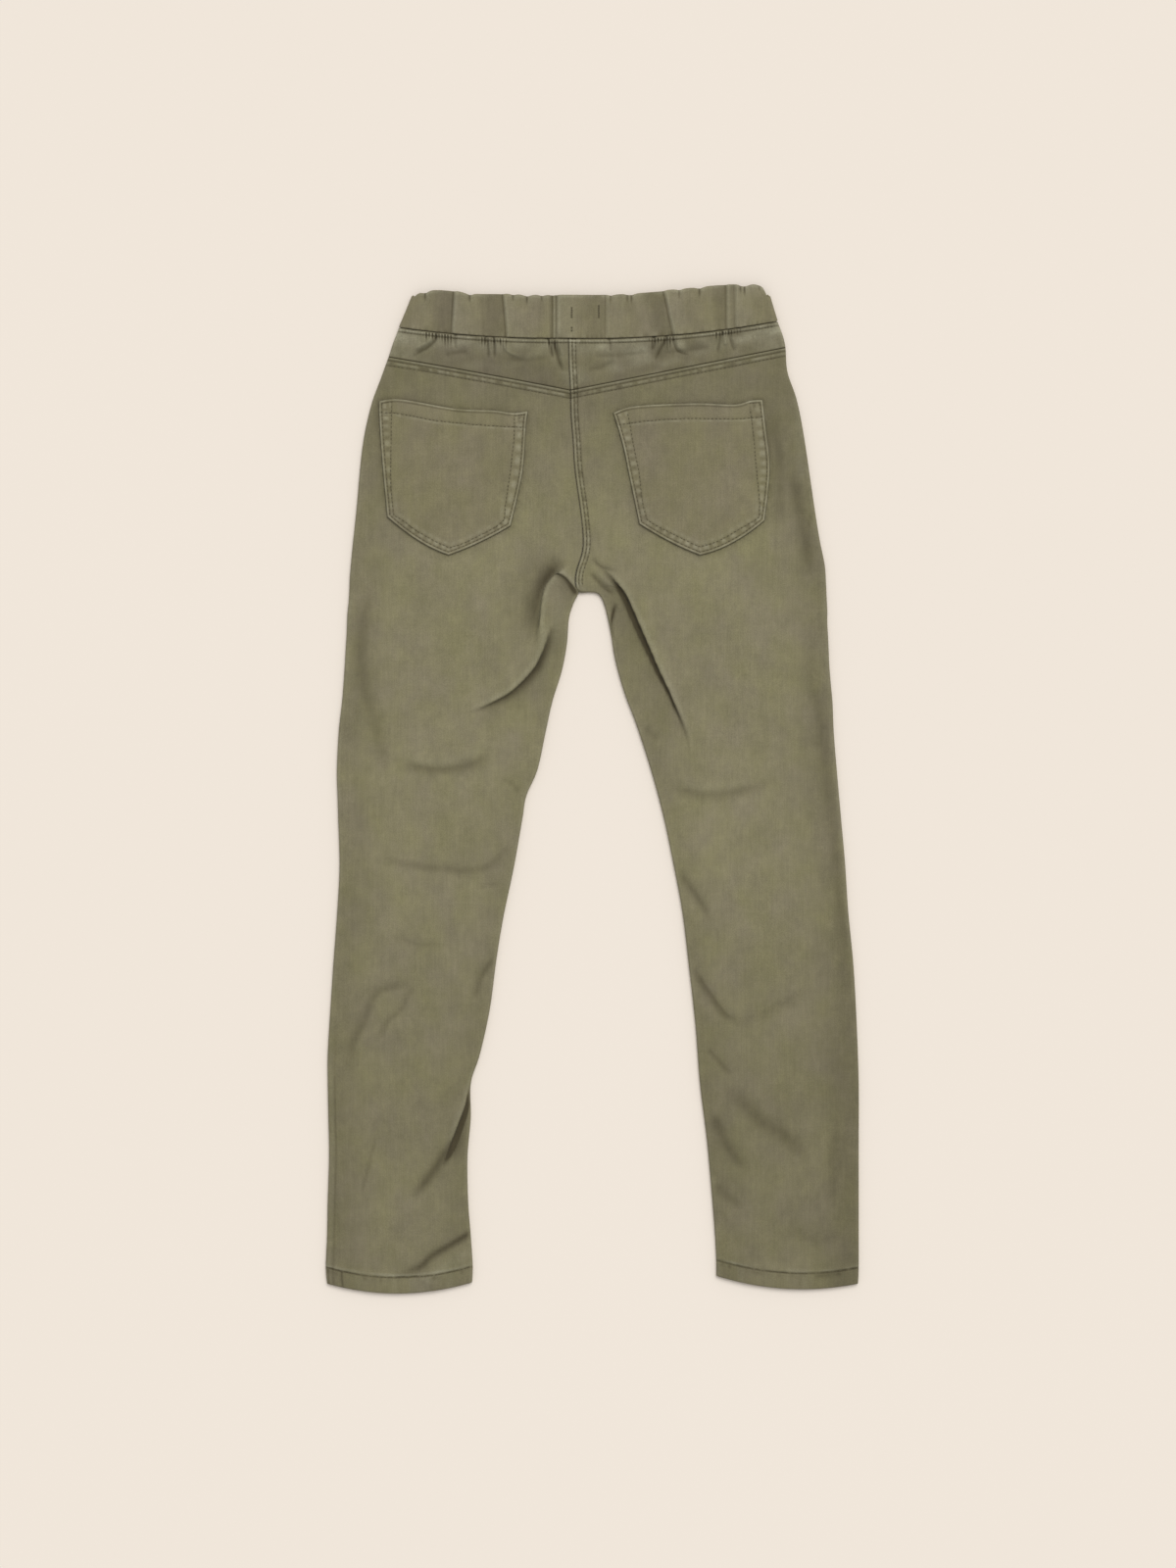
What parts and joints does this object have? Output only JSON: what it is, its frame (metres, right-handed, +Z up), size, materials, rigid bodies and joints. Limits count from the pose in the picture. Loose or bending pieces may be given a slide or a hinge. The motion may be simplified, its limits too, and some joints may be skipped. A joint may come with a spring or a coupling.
{
  "type": "jeggings",
  "caption": "Child's pull-on stretch twill jeggings with a gathered elastic waist, back yoke and patch pockets, lying flat on their front.",
  "frame": {"origin": "on the surface that the garment lies on, under the middle of its outline", "axes": "+X across the garment towards the wearer's right leg, +Y from the hems to the waist, +Z up from the surface, out of the garment's back"},
  "size_m": [0.4076, 0.7709, 0.007],
  "materials": {
    "waistband": "matte garment-dyed olive twill, gathered over elastic",
    "yoke": "matte garment-dyed olive twill",
    "leg": "matte garment-dyed olive twill, mottled by washing",
    "pocket": "matte garment-dyed olive twill, paler along its turned edges"
  },
  "bodies": {
    "root": {"waistband": "waistband", "yoke_left": "yoke", "yoke_right": "yoke", "back_left": "leg", "back_right": "leg", "front_left": "leg", "front_right": "leg", "pocket_left": "pocket", "pocket_right": "pocket"}
  },
  "joints": []
}
